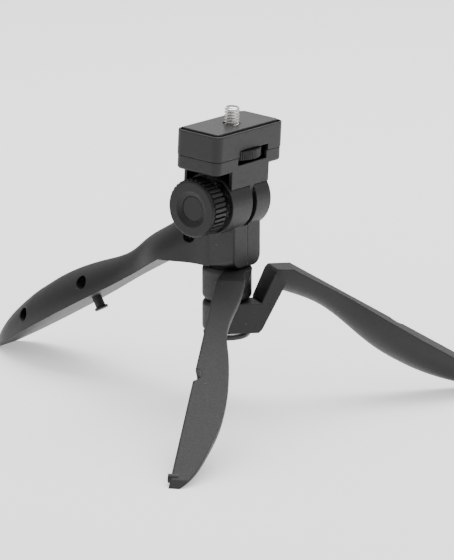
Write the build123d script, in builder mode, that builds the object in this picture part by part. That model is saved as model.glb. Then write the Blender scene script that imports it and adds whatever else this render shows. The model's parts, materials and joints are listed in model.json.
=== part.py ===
from build123d import *
import math
import os

os.makedirs("parts", exist_ok=True)

# Small folding tabletop tripod: a clamshell body that carries one fixed leg, two swing legs
# stacked on a vertical pivot under it, and a tilting camera platform above it.
# Millimetres, +Z up. Everything is drawn about the swing pivot, with the floor at Z = 0, and
# moved at the end so that the origin is the middle of the footprint.
pivot_x = 18.41
pivot_y = 10.43

# Swing pivot stack, heights above the floor
hub_radius = 10.23
hub_round = 2.0
pivot_radius = 3.0
pivot_bore = 3.07
lower_hub_bottom = 29.0
lower_hub_top = 42.0
upper_hub_bottom = 42.5
upper_hub_top = 56.6
body_bottom = 57.0
face_gap = 0.05

# Legs: the folding faces run level out to the crease, then fall to the floor
leg_slope = 30.44
leg_fall = math.tan(math.radians(leg_slope))
crease_out = 25.84
fixed_leg_gap = 0.52
seam_gap = 0.15
seam_line = 0.16
front_spread = 117.6
right_spread = -134.5
inner_round = 0.9

# Tilt joint between body and platform
tilt_x = 2.6
tilt_z = 85.13
lean = 3.2
barrel_radius = 12.94
cup_rim = -15.6
cup_inner_radius = 12.0
cup_floor = -11.2
barrel_right = 9.13
slot_left = -2.9
tilt_bolt_radius = 2.5
tilt_bore = 2.56
lug_radius = 10.9
lug_left = -2.65
lug_right = -0.25

# Body post under the barrel
post_back = 10.68
post_front = -4.0
post_half = 8.85
post_round = 4.6

# Camera platform, measured from the tilt axis: out (towards the back face), along, up
plat_front = -11.2
plat_back = 11.1
plat_left = -25.0
plat_right = 18.7
plat_corner = 3.5
lower_bottom = 14.9
parting = 20.8
upper_top = 31.15
pad_top = 31.9
pad_floor = 29.8
pad_inset = 1.9
pad_groove = 1.1
screw_out = 0.6
screw_along = -3.3
thread_radius = 3.175
thread_pitch = 1.27
screw_top = 38.7
thread_low = 32.4
neck_radius = 2.5
wheel_radius = 12.4
wheel_bottom = 19.4
wheel_top = 23.0

# Tilt knob
knob_radius = 11.9
knob_face = -26.7
knob_back = -18.9
knob_ribs = 36

# Latch peg under the fixed leg
peg_out = 70.8
peg_radius = 2.1
peg_head_radius = 3.0
peg_length = 6.0

# Screws that close the body halves: (out along the leg, height)
seam_screws = [(12.5, 68.2), (69.6, 39.2), (101.2, 20.1)]
seam_head_radius = 2.7
seam_head_y = -2.6

head = Plane(
    origin=(tilt_x, 0, tilt_z),
    x_dir=(math.cos(math.radians(lean)), 0, -math.sin(math.radians(lean))),
    z_dir=(math.sin(math.radians(lean)), 0, math.cos(math.radians(lean))),
)
footprint = Location((pivot_x, pivot_y, 0))


def leg_height(out):
    """Height of the folding plane of the swing legs, carried on past the crease."""
    return upper_hub_top - leg_fall * (out - crease_out)


def out_plane(out, height):
    """Upright plane across the leg, drawn as across (x) and up (y)."""
    return Plane(origin=(-out, 0, height), x_dir=(0, -1, 0), z_dir=(-1, 0, 0))


def along_y(y, x=0.0, z=0.0):
    """Plane facing +Y at the given y, drawn as x and z."""
    return Plane(origin=(x, y, z), x_dir=(1, 0, 0), z_dir=(0, -1, 0))


def rib_outline(count, tip, root, tip_share, root_share):
    """Points of a ribbed rim: flat-topped ribs with sloping flanks."""
    points = []
    for rib in range(count):
        start = 360.0 * rib / count
        pitch = 360.0 / count
        flank = (1 - tip_share - root_share) / 2
        for share, radius in (
            (0, tip),
            (tip_share, tip),
            (tip_share + flank, root),
            (tip_share + flank + root_share, root),
        ):
            angle = math.radians(start + pitch * share)
            points.append((radius * math.cos(angle), radius * math.sin(angle)))
    return points


# ---------------------------------------------------------------- body with the fixed leg
# Stations along the fixed leg: distance out, half width, height of the crown over the folding plane
fixed_stations = [
    (2.0, 8.85, 13.8),
    (10.0, 9.2, 13.8),
    (18.0, 11.4, 13.8),
    (26.0, 13.4, 13.9),
    (33.0, 12.2, 13.9),
    (40.0, 9.9, 13.5),
    (48.0, 9.2, 11.6),
    (56.0, 9.9, 11.8),
    (64.0, 12.1, 13.5),
    (73.0, 14.2, 15.4),
    (83.0, 15.3, 16.7),
    (93.0, 15.4, 16.7),
    (103.0, 14.5, 15.7),
    (111.0, 12.8, 13.7),
    (117.0, 10.6, 11.3),
    (121.0, 8.1, 8.8),
    (123.4, 5.8, 6.6),
    (124.6, 3.8, 4.6),
]
wall = 2.2

with BuildPart() as leg_hollow:
    for out, half, crown in fixed_stations[4:-3]:
        with BuildSketch(out_plane(out, leg_height(out) + fixed_leg_gap + wall)):
            with BuildLine():
                EllipticalCenterArc((0, 0), half - wall, crown - 2 * wall, start_angle=0, arc_size=180)
                Line((wall - half, 0), (half - wall, 0))
            make_face()
    loft()
    for out, height in seam_screws[1:]:
        with BuildSketch(along_y(20, -out, height)):
            Circle(seam_head_radius + 1.2)
        extrude(amount=40, mode=Mode.SUBTRACT)
    with BuildSketch(out_plane(peg_out - 6, 0)):
        with Locations((0, 32)):
            Rectangle(12, 20)
    extrude(amount=10, mode=Mode.SUBTRACT)

with BuildPart() as body:
    # fixed leg: arched back with straight flanks below the folding plane, trimmed underneath later
    for out, half, crown in fixed_stations:
        with BuildSketch(out_plane(out, leg_height(out) + fixed_leg_gap)):
            with BuildLine():
                EllipticalCenterArc((0, 0), half, crown, start_angle=0, arc_size=180)
                Polyline((-half, 0), (-half, -15), (half, -15), (half, 0))
            make_face()
    loft()
    # underside: level over the hubs, then falling with the swing legs' folding faces
    with BuildSketch(along_y(20)):
        with BuildLine():
            Polyline(
                (5, body_bottom),
                (-crease_out, body_bottom),
                (-140, leg_height(140) + fixed_leg_gap + body_bottom - upper_hub_top - 0.4),
                (-140, -60),
                (5, -60),
                close=True,
            )
        make_face()
    extrude(amount=40, mode=Mode.SUBTRACT)
    with BuildSketch(Plane.XY):
        with Locations((-120, 0)):
            Rectangle(60, 60)
    extrude(amount=-30, mode=Mode.SUBTRACT)
    add(leg_hollow.part, mode=Mode.SUBTRACT)

with BuildPart() as post:
    # square against the leg, with lower corners that round off towards the back face
    post_height = tilt_z - body_bottom
    for out, corner in ((post_front, 0.3), (post_back, post_round)):
        with BuildSketch(Plane(origin=(out, 0, body_bottom + post_height / 2), x_dir=(0, 1, 0), z_dir=(1, 0, 0))):
            RectangleRounded(2 * post_half, post_height, corner)
    loft(ruled=True)
    fillet(post.faces().sort_by(Axis.X)[-1].edges(), 0.8)

with BuildPart() as barrel:
    with BuildSketch(along_y(barrel_right, tilt_x, tilt_z)):
        Circle(barrel_radius)
    extrude(amount=barrel_right - cup_rim)
    with BuildSketch(along_y(cup_floor, tilt_x, tilt_z)):
        Circle(cup_inner_radius)
    extrude(amount=10, mode=Mode.SUBTRACT)

with BuildPart() as shell:
    add(body.part)
    add(post.part)
    add(barrel.part)
    # slot for the platform's lug, cut to the barrel's own radius
    with BuildSketch(along_y(0, tilt_x, tilt_z)):
        Circle(barrel_radius + 0.01)
    extrude(amount=-slot_left, mode=Mode.SUBTRACT)
    # recesses for the two friction washers
    with BuildSketch(along_y(slot_left, tilt_x, tilt_z)):
        Circle(8.6)
    extrude(amount=0.6, mode=Mode.SUBTRACT)
    with BuildSketch(along_y(0.6, tilt_x, tilt_z)):
        Circle(8.6)
    extrude(amount=0.6, mode=Mode.SUBTRACT)
    # tilt bolt bore and the nut's pocket in the right cheek
    with BuildSketch(along_y(20, tilt_x, tilt_z)):
        Circle(tilt_bore)
    extrude(amount=40, mode=Mode.SUBTRACT)
    with BuildSketch(along_y(20, tilt_x, tilt_z)):
        RegularPolygon(radius=8.1 / 2, side_count=6, major_radius=False)
    extrude(amount=20 - 4.2, mode=Mode.SUBTRACT)
    # pivot bolt hole, nut pocket and room for the bolt's end
    with BuildSketch(Plane.XY.offset(body_bottom)):
        Circle(pivot_radius)
    extrude(amount=11, mode=Mode.SUBTRACT)
    with BuildSketch(Plane.XY.offset(body_bottom + 3)):
        RegularPolygon(radius=10.0 / 2, side_count=6, major_radius=False)
    extrude(amount=5, mode=Mode.SUBTRACT)
    # latch peg's stem and its collar between the halves
    peg_base = leg_height(peg_out) + fixed_leg_gap
    peg_plane = Plane(
        origin=(-peg_out, 0, peg_base),
        x_dir=(0, 1, 0),
        z_dir=(-math.sin(math.radians(leg_slope)), 0, math.cos(math.radians(leg_slope))),
    )
    with BuildSketch(peg_plane.offset(-1)):
        Circle(peg_radius)
    extrude(amount=6, mode=Mode.SUBTRACT)
    with BuildSketch(peg_plane.offset(2.5)):
        Circle(3.5)
    extrude(amount=1.5, mode=Mode.SUBTRACT)
    # seam screws: head recess from the left, shank through
    for out, height in seam_screws:
        with BuildSketch(along_y(seam_head_y, -out, height)):
            Circle(seam_head_radius)
        extrude(amount=20, mode=Mode.SUBTRACT)
        with BuildSketch(along_y(7.0, -out, height)):
            Circle(1.35)
        extrude(amount=20, mode=Mode.SUBTRACT)

    # seam line down the back face
    with BuildSketch(Plane.XY.offset(body_bottom + 1.2)):
        with Locations((post_back, 0)):
            Rectangle(1.0, 2 * seam_line)
    extrude(amount=20, mode=Mode.SUBTRACT)

with BuildPart() as body_left_half:
    add(shell.part)
    split(bisect_by=Plane.XZ, keep=Keep.TOP)

with BuildPart() as body_right_half:
    add(shell.part)
    split(bisect_by=Plane.XZ, keep=Keep.BOTTOM)

with BuildPart() as body_screws:
    for out, height in seam_screws:
        with BuildSketch(along_y(seam_head_y, -out, height)):
            Circle(2.4)
        extrude(amount=1.7)
        with BuildSketch(along_y(6.5, -out, height)):
            Circle(1.35)
        extrude(amount=6.5 - seam_head_y)
        with BuildSketch(along_y(seam_head_y - 0.8, -out, height)):
            Rectangle(2.6, 0.6)
            Rectangle(0.6, 2.6)
        extrude(amount=1.2, mode=Mode.SUBTRACT)

with BuildPart() as latch_peg:
    with BuildSketch(peg_plane.offset(-peg_length)):
        Circle(peg_head_radius)
    extrude(amount=1.2)
    fillet(latch_peg.edges().filter_by(GeomType.CIRCLE), 0.45)
    with BuildSketch(peg_plane.offset(-peg_length + 0.6)):
        Circle(peg_radius)
    extrude(amount=peg_length + 4.4)
    with BuildSketch(peg_plane.offset(2.5)):
        Circle(3.5)
    extrude(amount=1.5)

# ---------------------------------------------------------------- swing legs, drawn folded
# Stations along a swing leg: distance out, half width, depth of the belly under the folding plane
swing_stations = [
    (19.0, 11.4, 14.6),
    (28.0, 12.3, 12.2),
    (36.0, 11.3, 11.0),
    (44.0, 9.7, 11.8),
    (52.0, 9.8, 14.2),
    (60.0, 11.9, 16.4),
    (68.0, 13.7, 17.1),
    (76.0, 14.9, 16.8),
    (84.0, 15.3, 15.6),
    (92.0, 14.9, 13.6),
    (100.0, 13.4, 11.1),
    (108.0, 11.4, 8.2),
    (114.0, 9.3, 5.4),
    (118.0, 7.0, 3.3),
    (120.8, 4.6, 2.0),
]


def swing_blank(inner_stations=()):
    """Spindle of a swing leg, still full round."""
    with BuildPart() as spindle:
        for out, half, depth in list(inner_stations) + swing_stations:
            with BuildSketch(out_plane(out, leg_height(out))):
                Ellipse(half, depth)
        loft()
    return spindle.part


def fold_trims(side):
    """What is cut away: over the folding face, under the floor and past the leg's mid plane."""
    with BuildPart() as trims:
        with BuildSketch(along_y(30)):
            with BuildLine():
                Polyline(
                    (20, upper_hub_top),
                    (-crease_out, upper_hub_top),
                    (-117.6, leg_height(117.6)),
                    (-122, leg_height(117.6) - 4.2),
                    (-140, leg_height(117.6) - 4.2),
                    (-140, 120),
                    (20, 120),
                    close=True,
                )
            make_face()
        extrude(amount=60)
        with BuildSketch(Plane.XY):
            with Locations((-100, 0)):
                Rectangle(80, 60)
        extrude(amount=-30)
        with BuildSketch(Plane.XY.offset(-1)):
            with Locations((-65, -side * (30 - seam_gap))):
                Rectangle(170, 60)
        extrude(amount=80)
    return trims.part


def peg_pocket():
    """Half-round pocket that closes over the latch peg when the legs are folded."""
    pocket = Plane(origin=peg_plane.origin, x_dir=(0, 1, 0), z_dir=-peg_plane.z_dir)
    with BuildPart() as cut:
        with BuildSketch(pocket.offset(-2)):
            Circle(peg_radius + 1.1)
        extrude(amount=2 + peg_length + 0.6)
        with BuildSketch(pocket.offset(peg_length - 1.8)):
            Circle(peg_head_radius + 0.5)
        extrude(amount=2.4)
    return cut.part


def inner_edges(leg, side):
    """Edges of the folding face along the leg's mid plane, outside the hub."""
    chosen = ShapeList()
    for edge in leg.edges():
        ends = [edge.position_at(0), edge.position_at(1)]
        on_plane = all(abs(end.Y - side * seam_gap) < 0.01 for end in ends)
        on_face = all(abs(end.Z - min(upper_hub_top, leg_height(-end.X))) < 0.01 for end in ends)
        if on_plane and on_face and edge.length > 5:
            chosen.append(edge)
    return chosen


def hub(bottom, top):
    """Hub with rounded rims."""
    with BuildPart() as ring:
        with BuildSketch(Plane.XY.offset(bottom)):
            Circle(hub_radius)
        extrude(amount=top - bottom)
        fillet(ring.edges().filter_by(GeomType.CIRCLE), hub_round)
    return ring.part


with BuildPart() as front_leg:
    # the belly runs on into the hub under a level arm
    add(swing_blank([(0.5, 11.3, 27.6), (10.0, 11.2, 22.0)]))
    add(fold_trims(-1), mode=Mode.SUBTRACT)
    fillet(inner_edges(front_leg, -1), inner_round)
    with BuildSketch(Plane.XY.offset(upper_hub_bottom)):
        Circle(hub_radius + 1.2)
    extrude(amount=-20, mode=Mode.SUBTRACT)
    add(peg_pocket(), mode=Mode.SUBTRACT)
    add(hub(upper_hub_bottom, upper_hub_top))
    with BuildSketch(Plane.XY.offset(upper_hub_bottom - 1)):
        Circle(pivot_bore)
    extrude(amount=20, mode=Mode.SUBTRACT)
    # locating nub near the tip
    with BuildSketch(along_y(0.9, -115.2, 2.35)):
        Circle(1.8)
    extrude(amount=4)

crank_foot = 13.0
with BuildPart() as right_leg:
    add(swing_blank())
    # arm from the lower hub and the crank that rises outside the upper hub
    for across, skew in ((0.0, -0.6), (hub_radius, 2.7)):
        with BuildSketch(along_y(across)):
            with BuildLine():
                Polyline(
                    (0, lower_hub_bottom + 0.5),
                    (-11.9, lower_hub_bottom + 0.5),
                    (-13.3, lower_hub_bottom + 1.9),
                    (-25.6, upper_hub_top - 1.5),
                    (-25.6, upper_hub_top),
                    (-17.4 - skew * 0.6, upper_hub_top),
                    (-16.2 - skew, upper_hub_top - 1.6),
                    (-10.7 - max(skew, -0.15), lower_hub_top + 1.0),
                    (-10.7 - max(skew, -0.15), lower_hub_top),
                    (0, lower_hub_top),
                    close=True,
                )
            make_face()
    loft(ruled=True)
    add(fold_trims(1), mode=Mode.SUBTRACT)
    fillet(inner_edges(right_leg, 1), inner_round)
    add(peg_pocket(), mode=Mode.SUBTRACT)
    add(hub(lower_hub_bottom, lower_hub_top))
    with BuildSketch(Plane.XY.offset(lower_hub_bottom - 1)):
        Circle(pivot_bore)
    extrude(amount=20, mode=Mode.SUBTRACT)
    # hole that takes the front leg's nub
    with BuildSketch(along_y(1.9, -115.2, 2.35)):
        Circle(2.1)
    extrude(amount=4, mode=Mode.SUBTRACT)

# ---------------------------------------------------------------- pivot hardware
with BuildPart() as pivot_cap:
    with BuildSketch(Plane.XY.offset(26.2)):
        Circle(9.8)
    extrude(amount=2.0)
    fillet(pivot_cap.edges().sort_by(Axis.Z)[0], 1.5)
    with BuildSketch(Plane.XY.offset(26.2)):
        Circle(5.5)
    extrude(amount=1.0, mode=Mode.SUBTRACT)
    with BuildSketch(Plane.XY.offset(26.2)):
        Circle(pivot_radius)
    extrude(amount=3, mode=Mode.SUBTRACT)

with BuildPart() as pivot_bolt:
    with BuildSketch(Plane.XY.offset(25.4)):
        Circle(5.2)
    extrude(amount=1.8)
    fillet(pivot_bolt.edges().sort_by(Axis.Z)[0], 0.8)
    with BuildSketch(Plane.XY.offset(27.0)):
        Circle(pivot_radius)
    extrude(amount=66.5 - 27.0)
    chamfer(pivot_bolt.edges().sort_by(Axis.Z)[-1], 0.6)
    with BuildSketch(Plane.XY.offset(25.4)):
        Rectangle(5.4, 1.0)
        Rectangle(1.0, 5.4)
    extrude(amount=1.1, mode=Mode.SUBTRACT)

with BuildPart() as pivot_nut:
    with BuildSketch(Plane.XY.offset(body_bottom + 3)):
        RegularPolygon(radius=10.0 / 2, side_count=6, major_radius=False)
        Circle(pivot_radius, mode=Mode.SUBTRACT)
    extrude(amount=5)

with BuildPart() as spring_washer:
    with BuildSketch(Plane.XY.offset(28.2)):
        Circle(8.4)
        Circle(pivot_radius, mode=Mode.SUBTRACT)
    extrude(amount=lower_hub_bottom - 28.2 - face_gap)

with BuildPart() as hub_washers:
    for bottom, top, radius in ((lower_hub_top, upper_hub_bottom, 7.4), (upper_hub_top, body_bottom, 8.0)):
        with BuildSketch(Plane.XY.offset(bottom + face_gap)):
            Circle(radius)
            Circle(pivot_radius, mode=Mode.SUBTRACT)
        extrude(amount=top - bottom - (2 * face_gap if radius < 8 else face_gap))

# ---------------------------------------------------------------- tilt joint hardware
with BuildPart() as tilt_knob:
    # ribbed grip
    with BuildSketch(along_y(knob_back, tilt_x, tilt_z)):
        with BuildLine():
            Polyline(rib_outline(knob_ribs, knob_radius + 0.15, knob_radius - 0.8, 0.52, 0.16), close=True)
        make_face()
    extrude(amount=6.6)
    # smooth shoulder and face
    with BuildSketch(along_y(knob_back - 6.6, tilt_x, tilt_z)):
        Circle(knob_radius - 0.35)
    extrude(amount=knob_back - 6.6 - knob_face)
    fillet(tilt_knob.edges().filter_by(GeomType.CIRCLE).sort_by(Axis.Y)[0], 0.8)
    # boss that reaches into the cup
    with BuildSketch(along_y(-12.1, tilt_x, tilt_z)):
        Circle(7.6)
    extrude(amount=-12.1 - knob_back)
    # dished face: sloping ring down to the cap's seat
    with BuildSketch(along_y(knob_face, tilt_x, tilt_z)):
        Circle(7.5)
    extrude(amount=-1.1, taper=62, mode=Mode.SUBTRACT)
    with BuildSketch(along_y(-24.5, tilt_x, tilt_z)):
        Circle(5.2)
    extrude(amount=3, mode=Mode.SUBTRACT)
    # bolt head's socket and shank hole
    with BuildSketch(along_y(-21.5, tilt_x, tilt_z)):
        RegularPolygon(radius=8.0 / 2, side_count=6, major_radius=False)
    extrude(amount=6, mode=Mode.SUBTRACT)
    with BuildSketch(along_y(-11, tilt_x, tilt_z)):
        Circle(tilt_bolt_radius)
    extrude(amount=12, mode=Mode.SUBTRACT)

with BuildPart() as knob_cap:
    with BuildSketch(along_y(-24.5, tilt_x, tilt_z)):
        Circle(5.15)
    extrude(amount=1.0)
    fillet(knob_cap.edges().sort_by(Axis.Y)[0], 0.3)

with BuildPart() as tilt_bolt:
    with BuildSketch(along_y(-21.5, tilt_x, tilt_z)):
        RegularPolygon(radius=8.0 / 2, side_count=6, major_radius=False)
    extrude(amount=2.9)
    with BuildSketch(along_y(8.6, tilt_x, tilt_z)):
        Circle(tilt_bolt_radius)
    extrude(amount=8.6 + 21.6)

with BuildPart() as tilt_nut:
    with BuildSketch(along_y(8.0, tilt_x, tilt_z)):
        RegularPolygon(radius=8.0 / 2, side_count=6, major_radius=False)
        Circle(tilt_bore, mode=Mode.SUBTRACT)
    extrude(amount=3.8)

with BuildPart() as tilt_washer:
    with BuildSketch(along_y(cup_floor, tilt_x, tilt_z)):
        Circle(8.4)
        Circle(tilt_bore, mode=Mode.SUBTRACT)
    extrude(amount=0.8)

with BuildPart() as friction_washers:
    for outer in (0.6, lug_left - face_gap):
        with BuildSketch(along_y(outer, tilt_x, tilt_z)):
            Circle(8.5)
            Circle(tilt_bore, mode=Mode.SUBTRACT)
        extrude(amount=0.8)

# ---------------------------------------------------------------- camera platform, drawn upright
# Local frame: x out towards the back face, y along the platform, z up from the tilt axis
plat_mid_out = (plat_front + plat_back) / 2
plat_mid_along = (plat_left + plat_right) / 2
plat_wide = plat_back - plat_front
plat_long = plat_right - plat_left
lower_inset = 0.2
plat_wall = 1.6
screw_posts = (-20.9, 14.3)


def platform_outline(inset):
    """Rounded outline of the platform, drawn inset from its upper edge."""
    with Locations((plat_mid_out, plat_mid_along)):
        RectangleRounded(plat_wide - 2 * inset, plat_long - 2 * inset, plat_corner - inset)


def window(left, right, bottom, top):
    """Opening through both long sides for the thumbwheel."""
    with BuildPart() as cut:
        with BuildSketch(Plane(origin=(-20, 0, 0), x_dir=(0, 1, 0), z_dir=(1, 0, 0))):
            with Locations(((left + right) / 2, (bottom + top) / 2)):
                Rectangle(right - left, top - bottom)
        extrude(amount=40)
    return cut.part


with BuildPart() as platform_lower:
    with BuildSketch(Plane.XY.offset(lower_bottom)):
        platform_outline(lower_inset)
    extrude(amount=parting - lower_bottom)
    fillet(platform_lower.edges().group_by(Axis.Z)[0], 1.0)
    # fine groove under the parting line
    with BuildSketch(Plane.XY.offset(parting - 0.25)):
        platform_outline(lower_inset - 1)
        with Locations((plat_mid_out, plat_mid_along)):
            RectangleRounded(plat_wide - 1.1, plat_long - 1.1, plat_corner - 0.55, mode=Mode.SUBTRACT)
    extrude(amount=0.25, mode=Mode.SUBTRACT)
    with BuildSketch(Plane.XY.offset(lower_bottom + 1.6)):
        platform_outline(plat_wall)
    extrude(amount=10, mode=Mode.SUBTRACT)
    # neck: thin walls round a channel that is open towards the knob
    with BuildSketch(Plane.XY.offset(4)):
        with Locations((plat_back - lower_inset - 0.875, (-14.6 + 9.35) / 2)):
            Rectangle(1.75, 9.35 + 14.6)
        with Locations((plat_front + lower_inset + 0.65, (-18.0 + 9.35) / 2)):
            Rectangle(1.3, 9.35 + 18.0)
        with Locations((plat_mid_out, 9.35 - 0.8)):
            Rectangle(plat_wide - 2 * lower_inset, 1.6)
    extrude(amount=lower_bottom - 4 + 1.6)
    with BuildSketch(along_y(20)):
        Circle(barrel_radius + 0.35)
    extrude(amount=20 - cup_rim + 0.5, mode=Mode.SUBTRACT)
    with BuildSketch(along_y(0)):
        with Locations((0, 1.5)):
            Rectangle(30, 11)
    extrude(amount=30, mode=Mode.SUBTRACT)
    # lug between the cheeks
    with BuildSketch(along_y(lug_right)):
        Circle(lug_radius)
        with Locations((plat_mid_out, (lower_bottom + 1.6) / 2)):
            Rectangle(plat_wide - 2 * lower_inset, lower_bottom + 1.6)
    extrude(amount=lug_right - lug_left)
    with BuildSketch(along_y(5)):
        Circle(tilt_bore)
    extrude(amount=15, mode=Mode.SUBTRACT)
    add(window(-11.2, 7.4, 17.4, 21.0), mode=Mode.SUBTRACT)
    with BuildSketch(Plane.XY.offset(wheel_bottom - 0.5)):
        with Locations((screw_out, screw_along)):
            Circle(wheel_radius + 0.35)
    extrude(amount=5, mode=Mode.SUBTRACT)
    # ring that steadies the thumbwheel's stub, and posts for the closing screws
    with BuildSketch(Plane.XY.offset(lower_bottom + 1.0)):
        with Locations((screw_out, screw_along)):
            Circle(5.0)
            Circle(3.08, mode=Mode.SUBTRACT)
    extrude(amount=3.4)
    with BuildSketch(Plane.XY.offset(lower_bottom + 1.0)):
        for along in screw_posts:
            with Locations((plat_mid_out, along)):
                Circle(3.2)
    extrude(amount=parting - lower_bottom - 1.0)
    for along in screw_posts:
        with Locations((plat_mid_out, along, lower_bottom)):
            with Locations(Rotation(180, 0, 0)):
                CounterBoreHole(radius=1.3, counter_bore_radius=2.3, counter_bore_depth=2.2, depth=10)

with BuildPart() as platform_upper:
    with BuildSketch(Plane.XY.offset(parting)):
        platform_outline(0)
    extrude(amount=upper_top - parting)
    fillet(platform_upper.edges().group_by(Axis.Z)[-1], 0.45)
    with BuildSketch(Plane.XY.offset(parting)):
        platform_outline(plat_wall)
    extrude(amount=upper_top - parting - 2.4, mode=Mode.SUBTRACT)
    with BuildSketch(Plane.XY.offset(pad_floor)):
        platform_outline(pad_inset - pad_groove)
    extrude(amount=5, mode=Mode.SUBTRACT)
    add(window(-10.0, 8.0, 15.0, 23.4), mode=Mode.SUBTRACT)
    with BuildSketch(Plane.XY.offset(parting - 1)):
        with Locations((screw_out, screw_along)):
            Circle(wheel_radius + 0.35)
    extrude(amount=23.4 - parting + 1, mode=Mode.SUBTRACT)
    with BuildSketch(Plane.XY.offset(parting)):
        for along in screw_posts:
            with Locations((plat_mid_out, along)):
                Circle(2.6)
                Circle(1.1, mode=Mode.SUBTRACT)
    extrude(amount=upper_top - parting - 2.0)
    with BuildSketch(Plane.XY.offset(parting)):
        with Locations((screw_out, screw_along)):
            Circle(3.5)
    extrude(amount=12, mode=Mode.SUBTRACT)

with BuildPart() as camera_pad:
    with BuildSketch(Plane.XY.offset(pad_floor)):
        platform_outline(pad_inset)
        with Locations((screw_out, screw_along)):
            Circle(3.5, mode=Mode.SUBTRACT)
    extrude(amount=pad_top - pad_floor)
    fillet(camera_pad.edges().group_by(Axis.Z)[-1].sort_by(SortBy.LENGTH)[1:], 0.3)

with BuildPart() as platform_screws:
    for along in screw_posts:
        with BuildSketch(Plane.XY.offset(lower_bottom + 0.5)):
            with Locations((plat_mid_out, along)):
                Circle(2.2)
        extrude(amount=1.7)
        with BuildSketch(Plane.XY.offset(lower_bottom + 2.2)):
            with Locations((plat_mid_out, along)):
                Circle(1.1)
        extrude(amount=10)
        with BuildSketch(Plane.XY.offset(lower_bottom + 0.5)):
            with Locations((plat_mid_out, along)):
                Rectangle(2.4, 0.6)
                Rectangle(0.6, 2.4)
        extrude(amount=0.9, mode=Mode.SUBTRACT)

# the wheel and its screw are drawn about their own axis
with BuildPart() as thumbwheel:
    with BuildSketch(Plane.XY.offset(wheel_bottom)):
        with BuildLine():
            Polyline(rib_outline(78, wheel_radius, wheel_radius - 0.3, 0.45, 0.25), close=True)
        make_face()
        Circle(4.2, mode=Mode.SUBTRACT)
    extrude(amount=wheel_top - wheel_bottom)

with BuildPart() as camera_screw:
    thread_start = thread_low
    with BuildSketch(Plane.XZ):
        with BuildLine():
            profile = [(0, 16.6), (3.0, 16.6), (3.0, wheel_bottom), (4.2, wheel_bottom)]
            profile += [(4.2, wheel_top + 4.6), (neck_radius, wheel_top + 4.6), (neck_radius, thread_start)]
            profile += [(thread_radius, thread_start)]
            turns = int((screw_top - thread_start - 0.8) / thread_pitch)
            for turn in range(turns):
                low = thread_start + 0.3 + turn * thread_pitch
                profile += [
                    (thread_radius, low),
                    (thread_radius - 0.72, low + 0.42),
                    (thread_radius - 0.72, low + 0.55),
                    (thread_radius, low + 0.97),
                ]
            profile += [(thread_radius, screw_top - 0.7), (thread_radius - 0.7, screw_top), (0, screw_top)]
            Polyline(profile, close=True)
        make_face()
    revolve(axis=Axis.Z)

# ---------------------------------------------------------------- placing and writing
folded = Location((0, 0, 0))
front_turn = Location((0, 0, 0), (0, 0, front_spread))
right_turn = Location((0, 0, 0), (0, 0, right_spread))
screw_place = head.location * Location((screw_out, screw_along, 0))

pieces = [
    ("body_left_half", body_left_half, folded),
    ("body_right_half", body_right_half, folded),
    ("body_screws", body_screws, folded),
    ("latch_peg", latch_peg, folded),
    ("front_leg", front_leg, front_turn),
    ("right_leg", right_leg, right_turn),
    ("pivot_cap", pivot_cap, folded),
    ("pivot_bolt", pivot_bolt, folded),
    ("pivot_nut", pivot_nut, folded),
    ("spring_washer", spring_washer, folded),
    ("hub_washers", hub_washers, folded),
    ("tilt_knob", tilt_knob, folded),
    ("knob_cap", knob_cap, folded),
    ("tilt_bolt", tilt_bolt, folded),
    ("tilt_nut", tilt_nut, folded),
    ("tilt_washer", tilt_washer, folded),
    ("friction_washers", friction_washers, folded),
    ("platform_lower", platform_lower, head.location),
    ("platform_upper", platform_upper, head.location),
    ("camera_pad", camera_pad, head.location),
    ("platform_screws", platform_screws, head.location),
    ("thumbwheel", thumbwheel, screw_place),
    ("camera_screw", camera_screw, screw_place),
]
for name, piece, place in pieces:
    placed = piece.part.moved(footprint * place)
    placed.label = name
    export_step(placed, f"parts/{name}.step")
    box = placed.bounding_box()
    print(f"{name:18s} solids {len(placed.solids())} volume {placed.volume:9.1f}", end=" ")
    print(f"x {box.min.X:7.2f} {box.max.X:7.2f} y {box.min.Y:7.2f} {box.max.Y:7.2f} z {box.min.Z:7.2f} {box.max.Z:7.2f}")
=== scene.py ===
import json
import math

import bpy
import numpy as np
from mathutils import Matrix, Vector


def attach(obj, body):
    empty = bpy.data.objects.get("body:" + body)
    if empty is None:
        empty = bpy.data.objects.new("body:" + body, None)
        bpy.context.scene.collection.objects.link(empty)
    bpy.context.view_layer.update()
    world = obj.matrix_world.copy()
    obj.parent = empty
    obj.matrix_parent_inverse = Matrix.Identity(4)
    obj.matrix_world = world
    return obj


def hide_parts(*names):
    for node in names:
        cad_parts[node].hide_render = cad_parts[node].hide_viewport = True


# Folding tabletop tripod: black moulded plastic, a bright camera screw and a smooth rubber pad.
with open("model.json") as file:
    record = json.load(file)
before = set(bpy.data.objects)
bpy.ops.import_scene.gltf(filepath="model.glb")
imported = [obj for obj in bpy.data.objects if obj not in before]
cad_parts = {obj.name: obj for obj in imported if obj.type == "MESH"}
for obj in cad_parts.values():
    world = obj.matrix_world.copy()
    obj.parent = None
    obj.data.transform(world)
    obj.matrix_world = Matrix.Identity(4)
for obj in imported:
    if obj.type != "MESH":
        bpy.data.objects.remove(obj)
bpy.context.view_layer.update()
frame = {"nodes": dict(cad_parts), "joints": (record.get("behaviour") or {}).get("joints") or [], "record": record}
nodes = frame["nodes"]
mounts = {mount["name"]: mount for mount in frame["record"]["mounts"]}
mm = 0.001
print("frame loaded,", len(nodes), "nodes")


def linearColour(hexColour):
    # sRGB hex to linear red, green, blue, alpha
    shades = [int(hexColour[i:i + 2], 16) / 255 for i in (1, 3, 5)]
    return [s / 12.92 if s <= 0.04045 else ((s + 0.055) / 1.055) ** 2.4 for s in shades] + [1.0]


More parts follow.
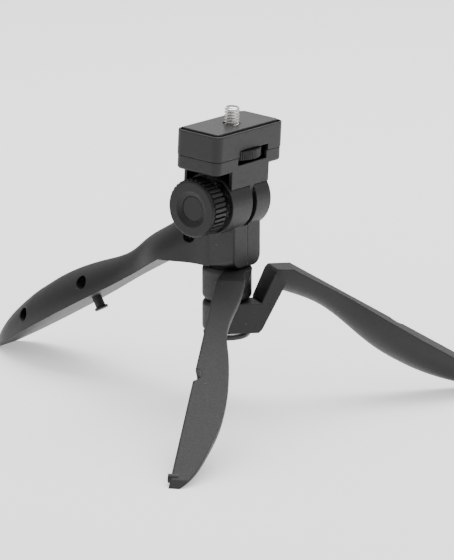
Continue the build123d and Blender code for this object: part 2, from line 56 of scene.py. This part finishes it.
def addNode(tree, kind, settings=None, inputs=None):
    # one node: settings are its own properties, inputs are values or sockets to link
    node = tree.nodes.new(kind)
    for name, value in (settings or {}).items():
        setattr(node, name, value)
    for name, value in (inputs or {}).items():
        if isinstance(value, bpy.types.NodeSocket):
            tree.links.new(value, node.inputs[name])
        else:
            node.inputs[name].default_value = value
    return node


def newMaterial(name):
    material = bpy.data.materials.new(name)
    material.use_nodes = True
    material.node_tree.nodes.clear()
    return material, material.node_tree


def dress(material, *names):
    # gives CAD nodes or new pieces one material
    for name in names:
        item = nodes[name] if isinstance(name, str) else name
        item.data.materials.clear()
        item.data.materials.append(material)


# ---- materials
bevelSamples = 6


def mouldedPlastic(name, look):
    # Black ABS from a spark-eroded mould: an even fine grain that breaks up the gloss, softened
    # moulded edges that are a little polished by handling and carry a lighter colour painted on as a highlight,
    # and faint cloudy flow marks.
    material, tree = newMaterial(name)
    place = addNode(tree, "ShaderNodeTexCoord")
    grain = addNode(tree, "ShaderNodeTexNoise", None, {
        "Vector": place.outputs["Object"], "Scale": 1 / (look["grainMm"] * mm),
        "Detail": 3.0, "Roughness": 0.6})
    clouds = addNode(tree, "ShaderNodeTexNoise", None, {
        "Vector": place.outputs["Object"], "Scale": 1 / (look["cloudMm"] * mm),
        "Detail": 4.0, "Roughness": 0.55})
    dust = addNode(tree, "ShaderNodeTexVoronoi", None, {
        "Vector": place.outputs["Object"], "Scale": 1 / (look["dustMm"] * mm)})
    specks = addNode(tree, "ShaderNodeMapRange", None, {
        "Value": dust.outputs["Distance"], "From Min": 0.05, "From Max": 0.0,
        "To Min": 0.0, "To Max": look["dust"]})
    rounded = addNode(tree, "ShaderNodeBevel", {"samples": bevelSamples}, {
        "Radius": look["edgeMm"] * mm})
    flat = addNode(tree, "ShaderNodeNewGeometry")
    agree = addNode(tree, "ShaderNodeVectorMath", {"operation": "DOT_PRODUCT"}, {
        0: rounded.outputs["Normal"], 1: flat.outputs["Normal"]})
    # edge mask from the bevel normal: it mixes in a lighter colour as a painted highlight and lowers the roughness
    edge = addNode(tree, "ShaderNodeMapRange", None, {
        "Value": agree.outputs["Value"],
        "From Min": look["flatAgree"], "From Max": look["sharpAgree"],
        "To Min": 0.0, "To Max": look["edgeHighlightAndGloss"]})
    shade = addNode(tree, "ShaderNodeMix", {"data_type": "RGBA"}, {
        0: clouds.outputs["Fac"], 6: linearColour(look["dark"]), 7: linearColour(look["light"])})
    # lighter colour on the rounded edges: a painted edge highlight
    edgeHighlight = addNode(tree, "ShaderNodeMix", {"data_type": "RGBA"}, {
        0: edge.outputs["Result"], 6: shade.outputs[2], 7: linearColour(look["edgeHighlight"])})
    dusty = addNode(tree, "ShaderNodeMix", {"data_type": "RGBA"}, {
        0: specks.outputs["Result"], 6: edgeHighlight.outputs[2], 7: linearColour(look["dustColour"])})
    matt = addNode(tree, "ShaderNodeMapRange", None, {
        "Value": grain.outputs["Fac"], "From Min": 0.3, "From Max": 0.7,
        "To Min": look["roughness"] - look["mattLow"],
        "To Max": look["roughness"] + look["mattHigh"]})
    polish = addNode(tree, "ShaderNodeMath", {"operation": "MULTIPLY_ADD"}, {
        0: edge.outputs["Result"], 1: -look["edgePolish"], 2: matt.outputs["Result"]})
    relief = addNode(tree, "ShaderNodeBump", None, {
        "Strength": look["relief"], "Distance": look["grainMm"] * mm * look["grainDepth"],
        "Height": grain.outputs["Fac"], "Normal": rounded.outputs["Normal"]})
    shader = addNode(tree, "ShaderNodeBsdfPrincipled", None, {
        "Base Color": dusty.outputs[2], "Roughness": polish.outputs["Value"],
        "Normal": relief.outputs["Normal"], "IOR": look["ior"]})
    addNode(tree, "ShaderNodeOutputMaterial", None, {"Surface": shader.outputs["BSDF"]})
    return material


# the edge colour in each look (body #2e2e30, fibre #6d5640) is a painted highlight along rounded edges
bodyLook = {"dark": "#0d0d0e", "light": "#131314", "edgeHighlight": "#2e2e30", "grainMm": 0.7, "cloudMm": 28,
            "dustMm": 6.5, "dust": 0.35, "dustColour": "#8d8a84", "edgeMm": 0.5, "edgeHighlightAndGloss": 0.5,
            "flatAgree": 0.99, "sharpAgree": 0.80, "edgePolish": 0.10, "roughness": 0.50,
            "mattLow": 0.06, "mattHigh": 0.07, "relief": 0.5, "grainDepth": 0.12, "ior": 1.45}
legLook = dict(bodyLook, dark="#111112", light="#18181a", grainMm=0.8, cloudMm=35, roughness=0.52,
               edgeMm=0.7)
knobLook = dict(bodyLook, dark="#060606", light="#0a0a0b", grainMm=0.5, roughness=0.46, ior=1.40,
                edgeMm=0.25, relief=0.3)
acetalLook = dict(bodyLook, dark="#101011", light="#161617", grainMm=0.5, roughness=0.42,
                  edgeMm=0.3, relief=0.25)
fibreLook = dict(bodyLook, dark="#3d2c20", light="#5a4330", edgeHighlight="#6d5640", grainMm=0.4,
                 roughness=0.75, edgeMm=0.15)


def padRubber(name, look):
    # Flat pad of smooth moulded rubber: low sheen seen from above, a clear reflection near grazing.
    material, tree = newMaterial(name)
    place = addNode(tree, "ShaderNodeTexCoord")
    skin = addNode(tree, "ShaderNodeTexNoise", None, {
        "Vector": place.outputs["Object"], "Scale": 1 / (look["grainMm"] * mm), "Detail": 4.0})
    rub = addNode(tree, "ShaderNodeTexNoise", None, {
        "Vector": place.outputs["Object"], "Scale": 1 / (look["rubMm"] * mm), "Detail": 5.0,
        "Distortion": look["rubSmear"]})
    shade = addNode(tree, "ShaderNodeMix", {"data_type": "RGBA"}, {
        0: rub.outputs["Fac"], 6: linearColour(look["dark"]), 7: linearColour(look["light"])})
    matt = addNode(tree, "ShaderNodeMapRange", None, {
        "Value": rub.outputs["Fac"], "From Min": 0.35, "From Max": 0.65,
        "To Min": look["roughness"] - look["mattLow"],
        "To Max": look["roughness"] + look["mattHigh"]})
    rounded = addNode(tree, "ShaderNodeBevel", {"samples": bevelSamples}, {
        "Radius": look["edgeMm"] * mm})
    relief = addNode(tree, "ShaderNodeBump", None, {
        "Strength": look["relief"], "Distance": look["reliefMm"] * mm,
        "Height": skin.outputs["Fac"],
        "Normal": rounded.outputs["Normal"]})
    shader = addNode(tree, "ShaderNodeBsdfPrincipled", None, {
        "Base Color": shade.outputs[2], "Roughness": matt.outputs["Result"],
        "Normal": relief.outputs["Normal"], "IOR": look["ior"]})
    addNode(tree, "ShaderNodeOutputMaterial", None, {"Surface": shader.outputs["BSDF"]})
    return material


def platedSteel(name, look):
    # Steel turned on a lathe, then plated: bright, with faint rings round the axis and a few
    # small stains.
    material, tree = newMaterial(name)
    place = addNode(tree, "ShaderNodeTexCoord")
    stretched = addNode(tree, "ShaderNodeMapping", None, {
        "Vector": place.outputs["Object"], "Scale": look["stretch"]})
    lines = addNode(tree, "ShaderNodeTexNoise", None, {
        "Vector": stretched.outputs["Vector"], "Scale": 1 / (look["lineMm"] * mm), "Detail": 3.0})
    stains = addNode(tree, "ShaderNodeTexNoise", None, {
        "Vector": place.outputs["Object"], "Scale": 1 / (look["stainMm"] * mm), "Detail": 4.0})
    shade = addNode(tree, "ShaderNodeMix", {"data_type": "RGBA"}, {
        0: stains.outputs["Fac"], 6: linearColour(look["dark"]), 7: linearColour(look["light"])})
    gloss = addNode(tree, "ShaderNodeMapRange", None, {
        "Value": lines.outputs["Fac"], "From Min": 0.3, "From Max": 0.7,
        "To Min": look["roughness"] * look["glossShare"],
        "To Max": look["roughness"] * look["dullShare"]})
    relief = addNode(tree, "ShaderNodeBump", None, {
        "Strength": look["relief"], "Distance": look["reliefMm"] * mm,
        "Height": lines.outputs["Fac"]})
    shader = addNode(tree, "ShaderNodeBsdfPrincipled", None, {
        "Base Color": shade.outputs[2], "Metallic": 1.0, "Roughness": gloss.outputs["Result"],
        "Normal": relief.outputs["Normal"]})
    addNode(tree, "ShaderNodeOutputMaterial", None, {"Surface": shader.outputs["BSDF"]})
    return material


nickelLook = {"dark": "#bcbab6", "light": "#dedcd8", "lineMm": 0.5, "stainMm": 3.0,
              "roughness": 0.16, "glossShare": 0.6, "dullShare": 1.5, "relief": 0.15,
              "reliefMm": 0.02, "stretch": (0.15, 0.15, 1.0)}
zincLook = dict(nickelLook, dark="#a9adb3", light="#c6cad0", lineMm=0.35, stainMm=2.5,
                roughness=0.30, stretch=(1.0, 1.0, 0.2))
rubberLook = {"dark": "#2a2a2c", "light": "#343437", "grainMm": 0.6, "rubMm": 9, "rubSmear": 0.6,
              "roughness": 0.30, "mattLow": 0.05, "mattHigh": 0.06, "edgeMm": 0.3,
              "relief": 0.2, "reliefMm": 0.04, "ior": 1.52}

bodyAbs = mouldedPlastic("moulded ABS, black", bodyLook)
legAbs = mouldedPlastic("moulded ABS, black, legs", legLook)
knobAbs = mouldedPlastic("moulded ABS, satin black", knobLook)
acetal = mouldedPlastic("moulded acetal, black", acetalLook)
fibre = mouldedPlastic("pressed fibre", fibreLook)
rubber = padRubber("moulded rubber, smooth", rubberLook)
nickel = platedSteel("nickel-plated steel", nickelLook)
zinc = platedSteel("zinc-plated steel", zincLook)

dress(bodyAbs, "body_left_half", "body_right_half", "platform_lower", "platform_upper")
dress(legAbs, "front_leg", "right_leg")
dress(knobAbs, "tilt_knob", "knob_cap", "thumbwheel")
dress(acetal, "pivot_cap", "hub_washers", "latch_peg")
dress(fibre, "friction_washers")
dress(rubber, "camera_pad")
dress(nickel, "camera_screw")
dress(zinc, "body_screws", "platform_screws", "pivot_bolt", "pivot_nut", "spring_washer",
      "tilt_bolt", "tilt_nut", "tilt_washer")
print("materials done")

# ---- camera screw with its helical thread
screwMount = mounts["camera_screw"]
screwAxis = Vector(screwMount["axis"]).normalized()
screwMiddle = Vector(screwMount["pos_m"])

screw = {
    "radiusMm": 3.16,       # crest of the 1/4 inch thread, just inside the CAD's
    "depthMm": 0.72,
    "pitchMm": 1.27,
    "crestShare": 0.16,     # parts of half a pitch: the flat crest, then the flank
    "flankShare": 0.62,
    "runoutMm": 1.0,        # height over which the thread fades in above the collar
    "topMm": 3.45,          # above the mount's middle, with the point's chamfer
    "chamferMm": 0.75,
    "threadEndMm": -7.4,    # the thread runs out into the collar inside the platform
    "collarMm": (-15.7, 4.15),
    "stubMm": (-18.5, 2.95),
    "around": 96,
    "perPitch": 14,
}


def threadedScrew(size):
    # Radius as a function of turn angle a and height h: the crest radius less a trapezoid wave of
    # the phase h / pitch - a / (2 pi), so one ridge climbs one pitch per turn. It is held under a
    # cone at the point and fades to the collar's plain cylinder at the lower end.
    top, low = size["topMm"], size["threadEndMm"]
    rows = int((top - low) / size["pitchMm"] * size["perPitch"])
    heights = np.linspace(low, top, rows)
    angles = np.linspace(0, 2 * np.pi, size["around"], endpoint=False)
    h, a = np.meshgrid(heights, angles, indexing="ij")
    phase = (h / size["pitchMm"] - a / (2 * np.pi)) % 1.0
    # 0 on the crest, 1 in the root
    wave = np.clip((np.abs(phase - 0.5) * 2 - size["crestShare"]) / size["flankShare"], 0, 1)
    fade = np.clip((h - low) / size["runoutMm"], 0, 1)
    radius = size["radiusMm"] - size["depthMm"] * wave * fade
    radius = np.minimum(radius, size["radiusMm"] - (h - (top - size["chamferMm"])))
    collarLow, collarRadius = size["collarMm"]
    stubLow, stubRadius = size["stubMm"]
    ends = [(stubLow, 0.0), (stubLow, stubRadius), (collarLow, stubRadius),
            (collarLow, collarRadius), (low, collarRadius)]
    below = [np.full(size["around"], z) for z, _ in ends]
    belowRadius = [np.full(size["around"], r) for _, r in ends]
    h = np.vstack(below + [h, np.full((1, size["around"]), top)])
    radius = np.vstack(belowRadius + [radius, np.zeros((1, size["around"]))])
    a = np.tile(angles, (h.shape[0], 1))
    return gridMesh(radius * np.cos(a), radius * np.sin(a), h)


def gridMesh(x, y, z):
    # Grid of rows (up) and columns (around, closed) to points and faces; the first and last rows
    # shrink to a point, so each is merged to one pole.
    rows, cols = x.shape
    points = np.stack([x, y, z], axis=-1).reshape(-1, 3)
    index = np.arange(rows * cols).reshape(rows, cols)
    index[0] = index[0, 0]
    index[-1] = index[-1, 0]
    right = np.roll(index, -1, axis=1)
    quads = np.stack([index[:-1], right[:-1], right[1:], index[1:]], axis=-1).reshape(-1, 4)
    return points, quads


def buildPiece(name, points, quads, place, body, material):
    # points in millimetres in the piece's own frame; place carries them into the shared frame
    used, compact = np.unique(quads, return_inverse=True)
    quads = compact.reshape(quads.shape)
    points = points[used] * mm
    matrix = np.array(place)
    points = points @ matrix[:3, :3].T + matrix[:3, 3]
    faces = []
    for quad in quads.tolist():
        corners = list(dict.fromkeys(quad))
        if len(corners) > 2:
            faces.append(corners)
    mesh = bpy.data.meshes.new(name)
    mesh.from_pydata(points.tolist(), [], faces)
    mesh.validate()
    mesh.shade_smooth()
    piece = bpy.data.objects.new(name, mesh)
    bpy.context.scene.collection.objects.link(piece)
    piece.data.materials.append(material)
    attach(piece, body)
    return piece


screwTurn = screwAxis.to_track_quat("Z", "Y").to_matrix().to_4x4()
screwPlace = Matrix.Translation(screwMiddle) @ screwTurn
points, quads = threadedScrew(screw)
cameraScrew = buildPiece("camera_screw_threaded", points, quads, screwPlace, "wheel", nickel)
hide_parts("camera_screw")
print("camera screw done,", len(cameraScrew.data.polygons), "faces")

# ---- floor, light and camera
studio = {
    "paperDark": "#f2f2f1",
    "paperLight": "#f7f7f6",
    "paperPerMetre": 3.0,
    "paperRoughness": 0.9,
    "paperSheen": 0.1,
    "floorHalf": 6.0,
    "floorGlow": 0.5,
    "horizonStrength": 0.22,
    "zenithStrength": 1.15,
    "climbFrom": 0.02,      # height in the sky's direction where it starts to brighten, and stops
    "climbTo": 0.55,
    "lightsLookAt": (0, 0, 0.05),
    "overhead": {"watts": 20.0, "size": (1.2, 0.9), "position": (-0.1, 0.5, 1.25)},
    "side": {"watts": 1.2, "size": (0.8, 0.9), "position": (1.3, 0.1, 0.8)},
}


def paleFloor():
    material, tree = newMaterial("pale studio floor")
    place = addNode(tree, "ShaderNodeTexCoord")
    paper = addNode(tree, "ShaderNodeTexNoise", None, {
        "Vector": place.outputs["Object"], "Scale": studio["paperPerMetre"], "Detail": 2.0})
    shade = addNode(tree, "ShaderNodeMix", {"data_type": "RGBA"}, {
        0: paper.outputs["Fac"],
        6: linearColour(studio["paperDark"]), 7: linearColour(studio["paperLight"])})
    shader = addNode(tree, "ShaderNodeBsdfPrincipled", None, {
        "Base Color": shade.outputs[2], "Roughness": studio["paperRoughness"],
        "Specular IOR Level": studio["paperSheen"],
        "Emission Color": linearColour("#ffffff"), "Emission Strength": studio["floorGlow"]})
    addNode(tree, "ShaderNodeOutputMaterial", None, {"Surface": shader.outputs["BSDF"]})
    mesh = bpy.data.meshes.new("floor")
    half = studio["floorHalf"]
    corners = [(-half, -half, 0), (half, -half, 0), (half, half, 0), (-half, half, 0)]
    mesh.from_pydata(corners, [], [(0, 1, 2, 3)])
    floor = bpy.data.objects.new("floor", mesh)
    bpy.context.scene.collection.objects.link(floor)
    floor.data.materials.append(material)


def areaLight(name, look):
    lamp = bpy.data.lights.new(name, "AREA")
    lamp.energy = look["watts"]
    lamp.shape = "RECTANGLE"
    lamp.size, lamp.size_y = look["size"]
    light = bpy.data.objects.new(name, lamp)
    light.location = look["position"]
    ahead = Vector(studio["lightsLookAt"]) - Vector(look["position"])
    light.rotation_euler = ahead.to_track_quat("-Z", "Y").to_euler()
    bpy.context.scene.collection.objects.link(light)


paleFloor()
world = bpy.data.worlds.new("white studio")
bpy.context.scene.world = world
world.use_nodes = True
sky = world.node_tree
sky.nodes.clear()
direction = addNode(sky, "ShaderNodeTexCoord")
height = addNode(sky, "ShaderNodeSeparateXYZ", None, {"Vector": direction.outputs["Generated"]})
climb = addNode(sky, "ShaderNodeMapRange", {"interpolation_type": "SMOOTHSTEP"}, {
    "Value": height.outputs["Z"],
    "From Min": studio["climbFrom"], "From Max": studio["climbTo"],
    "To Min": studio["horizonStrength"], "To Max": studio["zenithStrength"]})
glow = addNode(sky, "ShaderNodeBackground", None, {
    "Color": (1.0, 1.0, 1.0, 1.0), "Strength": climb.outputs["Result"]})
addNode(sky, "ShaderNodeOutputWorld", None, {"Surface": glow.outputs["Background"]})
areaLight("overhead softbox", studio["overhead"])
areaLight("right softbox", studio["side"])

cameraPose = {"azimuth": 38.3, "elevation": 15.2, "distance": 1.289, "lensMm": 201.73,
              "sensorMm": 36.0, "heightMm": 49.7, "clip": (0.05, 30.0)}
swing = [joint for joint in frame["joints"] if joint["name"] == "front_leg_swing"][0]
target = Vector((swing["pos_m"][0], swing["pos_m"][1], cameraPose["heightMm"] * mm))
azimuth, elevation = math.radians(cameraPose["azimuth"]), math.radians(cameraPose["elevation"])
back = Vector((math.sin(azimuth) * math.cos(elevation), -math.cos(azimuth) * math.cos(elevation),
               math.sin(elevation)))
lens = bpy.data.cameras.new("camera")
lens.lens = cameraPose["lensMm"]
lens.sensor_width = cameraPose["sensorMm"]
lens.sensor_fit = "AUTO"
lens.clip_start, lens.clip_end = cameraPose["clip"]
camera = bpy.data.objects.new("camera", lens)
camera.location = target + back * cameraPose["distance"]
camera.rotation_euler = back.to_track_quat("Z", "Y").to_euler()
bpy.context.scene.collection.objects.link(camera)
bpy.context.scene.camera = camera
print("studio done")
